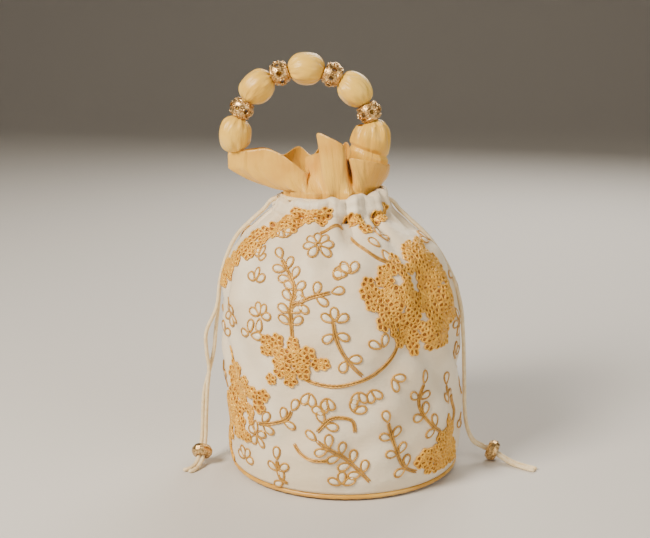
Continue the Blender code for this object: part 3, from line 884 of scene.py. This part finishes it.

# %% [markdown]
# ## The frill
# A strip of satin stands above the casing. The handle's ends are sewn to its two corners: the
# left corner is drawn out in a broad flap, and the right one rises as a box fold. Between them
# the strip buckles into lobes. Its top edge is a smooth line through given points, and
# each column of the cloth swings out from the casing to its point.

# %% The top edge, from the left corner round the front to the right and back
TOP_EDGE = (
    (180, (-0.0868, 0.0000, 0.2385)),
    (190, (-0.0780, -0.0045, 0.2400)),
    (200, (-0.0690, -0.0075, 0.2412)),
    (210, (-0.0590, -0.0110, 0.2425)),
    (220, (-0.0480, -0.0145, 0.2395)),
    (230, (-0.0365, -0.0170, 0.2325)),
    (238, (-0.0270, -0.0150, 0.2250)),
    (244, (-0.0275, -0.0060, 0.2290)),
    (250, (-0.0300, -0.0010, 0.2345)),
    (256, (-0.0235, -0.0030, 0.2375)),
    (262, (-0.0190, -0.0120, 0.2410)),
    (268, (-0.0205, -0.0200, 0.2545)),
    (275, (-0.0110, -0.0250, 0.2520)),
    (282, (-0.0025, -0.0250, 0.2475)),
    (288, (0.0000, -0.0190, 0.2430)),
    (293, (0.0008, -0.0080, 0.2380)),
    (298, (0.0022, -0.0080, 0.2340)),
    (304, (0.0030, -0.0225, 0.2365)),
    (312, (0.0070, -0.0258, 0.2370)),
    (326, (0.0190, -0.0240, 0.2345)),
    (340, (0.0295, -0.0155, 0.2315)),
    (352, (0.0338, -0.0050, 0.2300)),
    (365, (0.0335, 0.0060, 0.2290)),
    (380, (0.0255, 0.0170, 0.2300)),
    (395, (0.0140, 0.0240, 0.2310)),
    (410, (0.0080, 0.0240, 0.2300)),
    (425, (0.0010, 0.0280, 0.2430)),
    (440, (-0.0080, 0.0240, 0.2360)),
    (455, (-0.0160, 0.0300, 0.2450)),
    (470, (-0.0250, 0.0220, 0.2340)),
    (485, (-0.0350, 0.0260, 0.2400)),
    (500, (-0.0470, 0.0160, 0.2350)),
    (515, (-0.0590, 0.0110, 0.2405)),
    (528, (-0.0700, 0.0075, 0.2405)),
)
FRILL_FOOT = 0.1995
FRILL_NECK = 0.2125
FRILL_A, FRILL_B = 0.0340, 0.0286
NECK_SHARE = 0.28
FLAP_BELLY, LOBE_BELLY = 0.0040, 0.0012
edge_turns = np.array([turn for turn, _ in TOP_EDGE] + [540.0])
edge_points = np.array([point for _, point in TOP_EDGE] + [TOP_EDGE[0][1]])


def top_edge(turn):
    """The top edge's point for a turn in degrees, on a smooth closed line."""
    turn = (turn - 180) % 360 + 180
    k = np.clip(np.searchsorted(edge_turns, turn, "right") - 1, 0, len(edge_turns) - 2)
    t = ((turn - edge_turns[k]) / (edge_turns[k + 1] - edge_turns[k]))[:, None]
    loop = len(edge_turns) - 1
    a, b = edge_points[(k - 1) % loop], edge_points[k % loop]
    c, d = edge_points[(k + 1) % loop], edge_points[(k + 2) % loop]
    return b + 0.5 * t * (c - a + t * (2 * a - 5 * b + 4 * c - d + t * (3 * (b - c) + d - a)))


random.seed(5)
PLEATS = [(random.uniform(6, 26), random.uniform(0, 6.28), random.uniform(0.3, 1.0)) for _ in range(5)]


def frill_form(u, v):
    """The frill: u round the neck, v from its foot inside the casing to its top edge."""
    turn = 180 + 360 * u
    round_turn = np.radians(turn)
    gather = np.zeros_like(u)
    for waves, phase, depth in PLEATS:
        gather += 0.0006 * depth * np.sin(np.rint(waves) * round_turn + phase)
    neck_x = NECK_X + FRILL_A * np.cos(round_turn)
    neck_y = FRILL_B * np.sin(round_turn)
    top = top_edge(turn)
    rise = np.clip(v / NECK_SHARE, 0, 1)
    out = np.clip((v - NECK_SHARE) / (1 - NECK_SHARE), 0, 1)
    flap = np.clip(-np.cos(round_turn), 0, 1) ** 2
    neck_z = FRILL_NECK - 0.0012 * flap
    for waves, phase, depth in ((15, 0.4, 1.0), (26, 2.0, 0.5)):
        gather += 0.0008 * depth * np.sin(waves * round_turn + phase) * rise
    sideways = out**0.85 * (1 - flap) + np.minimum(out / 0.72, 1) ** 0.9 * flap
    upward = out ** (1.15 + 0.6 * flap)
    fullness = FLAP_BELLY * flap * np.abs(np.sin(round_turn)) + LOBE_BELLY * (1 - flap)
    belly = np.sin(math.pi * out) * fullness
    ripple = 0.0011 * out * np.sin(7 * round_turn + 5 * out) * (1 - flap**4)
    fold = gather * (1 - out) ** 1.5 + belly + ripple
    x = neck_x + (top[:, 0] - neck_x) * sideways + fold * np.cos(round_turn)
    y = neck_y + (top[:, 1] - neck_y) * sideways + fold * np.sin(round_turn)
    z = FRILL_FOOT + (neck_z - FRILL_FOOT) * rise + (top[:, 2] - neck_z) * upward
    return stack(x, y, z)


frill = laid_cloth("satin_frill", 420, 44, frill_form, (0.34, 0.05), SATIN, 0.0005)
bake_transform(frill)
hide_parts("frill")
print("frill faces:", len(frill.data.polygons))

# %% [markdown]
# ## The lining and the base
# The lining is a cotton bag inside the silk one, seen only through the mouth. The round base is
# covered in satin, and a piping runs round its seam.


# %% Lining
def lining_form(u, v):
    turn = 2 * math.pi * u
    foot = 0.0036
    way = 0.0045 + np.clip((v - 0.12) / 0.88, 0, 1) * 0.1935
    height = np.interp(way, fine_ways, fine_height)
    width = np.interp(way, fine_ways, fine_width) - 0.0034
    shift = np.interp(way, fine_ways, fine_shift)
    floor_share = np.clip(v / 0.12, 0, 1)
    width = np.where(v < 0.12, 0.0815 * np.maximum(floor_share, 0.001), width)
    height = np.where(v < 0.12, foot, height)
    gathers = 0.0006 * smooth_step(way, 0.15, 0.19) * np.sin(31 * turn) + np.minimum(relief(turn, way), 0)
    neck = np.clip((height - 0.167) / 0.037, 0, 1)
    depth = width * (1 - neck * (1 - NECK_DEPTH_RATIO))
    return stack(shift + (width + gathers) * np.sin(turn), -(depth + gathers) * np.cos(turn), height)


lining = laid_cloth("cotton_lining", 96, 70, lining_form, (0.54, 0.25), COTTON, 0.0004)
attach(lining, "bag")
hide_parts("lining_bag")

# %% Piping round the base seam
def piping_form(u, v):
    turn, swing = 2 * math.pi * v, -2 * math.pi * u
    radius = 0.0017 + 0.00012 * np.sin(60 * turn + 2 * np.cos(swing))
    out = 0.0858 + radius * np.cos(swing)
    return stack(out * np.cos(turn), out * np.sin(turn), 0.0031 + radius * np.sin(swing))


piping = laid_cloth("satin_piping", 14, 288, piping_form, (0.01, 0.54), PIPING)
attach(piping, "bag")
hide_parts("base_piping")

# %% [markdown]
# ## The handle
# One satin tube covers five balls on a cord and is drawn in between them. The gathers are
# deepest at each ball's ends and fade at its belt, as cloth does when it is drawn in.

# %% The ring's own line
RING_X, RING_Z, RING = -0.0300, 0.2480, 0.0515
RING_MIDDLE, RING_STEP = 88.5, 21.8
BALL_HALF_ANGLE, BALL_RADIUS, HANDLE_NECK = 14.3, 0.0119, 0.0032
RIGHT_PULL, PULL_FROM, PULL_SPAN = 0.0080, 15.5, 28.5


def cover_form(u, v):
    first = RING_MIDDLE - 4 * RING_STEP - BALL_HALF_ANGLE
    angle = first + v * (8 * RING_STEP + 2 * BALL_HALF_ANGLE)
    swing = 2 * math.pi * u
    nearest = np.rint((angle - RING_MIDDLE) / (2 * RING_STEP))
    offset = np.abs(angle - RING_MIDDLE - 2 * RING_STEP * nearest) / BALL_HALF_ANGLE
    ball = np.clip(1 - np.minimum(offset, 1) ** 2.15, 0, 1) ** 0.62
    gather = np.sin(11 * swing + 1.7 * nearest + 2 * offset)
    gather = gather + 0.7 * np.sin(7 * swing + 2.3 * nearest + 1 - 3 * offset)
    depth = smooth_step(offset, 0.15, 0.90) * (1 - 0.5 * smooth_step(offset, 0.97, 1.1))
    radius = HANDLE_NECK + (BALL_RADIUS - HANDLE_NECK) * ball
    radius = radius * (1 + 0.07 * depth * gather) + 0.0003 * np.sin(3 * swing + 5 * nearest) * ball
    turn = np.radians(angle)
    pull = RIGHT_PULL * (np.maximum(PULL_FROM - angle, 0) / PULL_SPAN) ** 2
    out = RING - pull + radius * np.cos(swing)
    return stack(RING_X + out * np.cos(turn), radius * np.sin(swing), RING_Z + out * np.sin(turn))


cover = laid_cloth("satin_handle_cover", 84, 330, cover_form, (0.075, 0.18), HANDLE_SATIN)
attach(cover, "handle")
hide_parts("handle_cover")
print("handle cover faces:", len(cover.data.polygons))

# %% [markdown]
# ## The cuff at the ring's right end
# At the right the frill's own satin is drawn up over the last ball, so it makes one soft sleeve
# from the box fold to the spacer.

# %% Right cuff: height, middle in X and Y, half width and half depth of its sections
CUFF = (
    (0.2190, 0.0170, -0.0030, 0.0132, 0.0085),
    (0.2260, 0.0168, -0.0025, 0.0142, 0.0105),
    (0.2330, 0.0170, -0.0015, 0.0147, 0.0120),
    (0.2385, 0.0175, -0.0005, 0.0144, 0.0128),
    (0.2430, 0.0182, 0.0000, 0.0147, 0.0140),
    (0.2490, 0.0190, 0.0000, 0.0145, 0.0143),
    (0.2545, 0.0194, 0.0000, 0.0131, 0.0131),
    (0.2570, 0.0196, 0.0000, 0.0118, 0.0118),
    (0.2585, 0.0197, 0.0000, 0.0108, 0.0108),
)
cuff_sections, _ = smooth_line([(row[0], row[1], row[3]) for row in CUFF], 60)
cuff_depths, _ = smooth_line([(row[0], row[2], row[4]) for row in CUFF], 60)


def cuff_form(u, v):
    swing = 2 * math.pi * u
    height = CUFF[0][0] + v * (CUFF[-1][0] - CUFF[0][0])
    middle = np.interp(height, cuff_sections[:, 0], cuff_sections[:, 1])
    half = np.interp(height, cuff_sections[:, 0], cuff_sections[:, 2])
    near = np.interp(height, cuff_depths[:, 0], cuff_depths[:, 1])
    deep = np.interp(height, cuff_depths[:, 0], cuff_depths[:, 2])
    top = smooth_step(v, 0.45, 1)
    ridge = 0.050 * top * (np.sin(11 * swing + 5 * v) + 0.8 * np.sin(6 * swing - 7 * v))
    ridge = ridge + 0.035 * np.sin(3 * swing + 11 * v) * np.sin(6 * v + 1)
    crease = 0.10 * np.exp(-(((height - 0.2400 + 0.0045 * np.cos(swing)) / 0.0016) ** 2))
    size = 1 + ridge - crease
    return stack(middle + half * size * np.cos(swing), near + deep * size * np.sin(swing), height)


cuff = laid_cloth("satin_right_cuff", 90, 90, cuff_form, (0.085, 0.045), HANDLE_SATIN)
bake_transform(cuff)
print("cuff faces:", len(cuff.data.polygons))

# %% [markdown]
# ## Pierced metal spacers
# Each spacer is a hollow barrel with eight round eyelets in its belt, a rim at each end and rows
# of small grains between. One is modelled at the origin and copied to its four places.


# %% Model one spacer
def add_ring(place, turn, major, minor, parts, around=24, sides=8):
    bpy.ops.mesh.primitive_torus_add(
        location=place, rotation=turn, major_radius=major, minor_radius=minor,
        major_segments=around, minor_segments=sides,
    )
    parts.append(bpy.context.object)


def join(parts, name):
    deselect()
    for part in parts:
        part.select_set(True)
    bpy.context.view_layer.objects.active = parts[0]
    bpy.ops.object.join()
    bpy.ops.object.transform_apply(location=True, rotation=True, scale=True)
    joined = bpy.context.object
    joined.name = joined.data.name = name
    return joined


def barrel():
    """The spacer's wall: a cylinder bulged at its belt, given a wall and pierced."""
    deselect()
    bpy.ops.mesh.primitive_cylinder_add(vertices=64, radius=0.0064, depth=0.0118, end_fill_type="NOTHING")
    wall = bpy.context.object
    bpy.ops.object.mode_set(mode="EDIT")
    bpy.ops.mesh.select_all(action="SELECT")
    bpy.ops.mesh.subdivide(number_cuts=9)
    bpy.ops.mesh.remove_doubles(threshold=1e-6)
    bpy.ops.object.mode_set(mode="OBJECT")
    for vertex in wall.data.vertices:
        share = vertex.co.z / 0.0059
        swell = 1 + 0.38 * (1 - share * share) ** 0.6 if abs(share) < 1 else 1
        flat = Vector((vertex.co.x, vertex.co.y)).normalized() * 0.0062 * swell
        vertex.co.x, vertex.co.y = flat
    thick = wall.modifiers.new("Wall", "SOLIDIFY")
    thick.thickness = 0.0007
    bpy.ops.object.modifier_apply(modifier=thick.name)
    drills = []
    for k in range(8):
        turn = 2 * math.pi * k / 8
        bpy.ops.mesh.primitive_cylinder_add(
            vertices=20, radius=0.0017, depth=0.006, rotation=(0, math.pi / 2, turn),
            location=(0.0085 * math.cos(turn), 0.0085 * math.sin(turn), 0),
        )
        drills.append(bpy.context.object)
    drill = join(drills, "drill")
    deselect()
    wall.select_set(True)
    bpy.context.view_layer.objects.active = wall
    hole = wall.modifiers.new("Eyelets", "BOOLEAN")
    hole.operation = "DIFFERENCE"
    hole.object = drill
    bpy.ops.object.modifier_apply(modifier=hole.name)
    bpy.data.objects.remove(drill)
    return wall


def model_spacer():
    parts = [barrel()]
    for end in (-1, 1):
        add_ring((0, 0, end * 0.0057), (0, 0, 0), 0.0060, 0.00075, parts, 40)
        add_ring((0, 0, end * 0.0041), (0, 0, 0), 0.0077, 0.00032, parts, 40, 6)
    for k in range(8):
        turn = 2 * math.pi * k / 8
        place = (0.0087 * math.cos(turn), 0.0087 * math.sin(turn), 0)
        add_ring(place, (0, math.pi / 2, turn), 0.0020, 0.00042, parts, 18, 6)
    for k in range(24):
        turn = 2 * math.pi * (k + 0.5) / 24
        for height, out in ((-0.0048, 0.0073), (0.0048, 0.0073)):
            bpy.ops.mesh.primitive_ico_sphere_add(
                subdivisions=2, radius=0.00062, location=(out * math.cos(turn), out * math.sin(turn), height)
            )
            parts.append(bpy.context.object)
    for k in range(8):
        turn = 2 * math.pi * (k + 0.5) / 8
        for height in (-0.0018, 0, 0.0018):
            out = 0.0086 - 0.2 * abs(height)
            bpy.ops.mesh.primitive_ico_sphere_add(
                subdivisions=2, radius=0.00072, location=(out * math.cos(turn), out * math.sin(turn), height)
            )
            parts.append(bpy.context.object)
    spacer = join(parts, "spacer_model")
    spacer.data.shade_smooth()
    spacer.data.set_sharp_from_angle(angle=math.radians(50))
    return spacer


model = model_spacer()
print("spacer faces:", len(model.data.polygons))

# %% Copy it to its four places
for k in range(4):
    angle = math.radians(RING_MIDDLE + (3 - 2 * k) * RING_STEP)
    place = Vector((RING_X + RING * math.cos(angle), 0, RING_Z + RING * math.sin(angle)))
    way = Vector((-math.sin(angle), 0, math.cos(angle)))
    spin = Matrix.Rotation(0.31 + 0.5 * k, 4, "Z")
    mesh = model.data.copy()
    mesh.transform(Matrix.Translation(place) @ way.to_track_quat("Z", "Y").to_matrix().to_4x4() @ spin)
    mesh.materials.clear()
    mesh.materials.append(BRASS)
    spacer = bpy.data.objects.new(f"metal_spacer_{k + 1}", mesh)
    bpy.context.scene.collection.objects.link(spacer)
    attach(spacer, f"spacer_{k + 1}")
    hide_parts(f"handle_spacer_{k + 1}")
bpy.data.objects.remove(model)

# %% [markdown]
# ## Inside pieces
# The board, the balls and the cords inside keep their solids and get their own finishes.

# %% Finishes of the pieces that keep their solids
KEPT = {
    "base_cover": SATIN,
    "base_board": BOARD,
    "handle_cord": CORD,
    "drawstring_left_in_casing": CORD,
    "drawstring_right_in_casing": CORD,
    "cord_bead_left": BRASS,
    "cord_bead_right": BRASS,
    **{f"handle_core_{k + 1}": WOOD for k in range(5)},
}
for name, look in KEPT.items():
    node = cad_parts[name]
    node = node if isinstance(node, bpy.types.Object) else bpy.data.objects[name]
    node.data.materials.clear()
    node.data.materials.append(look)
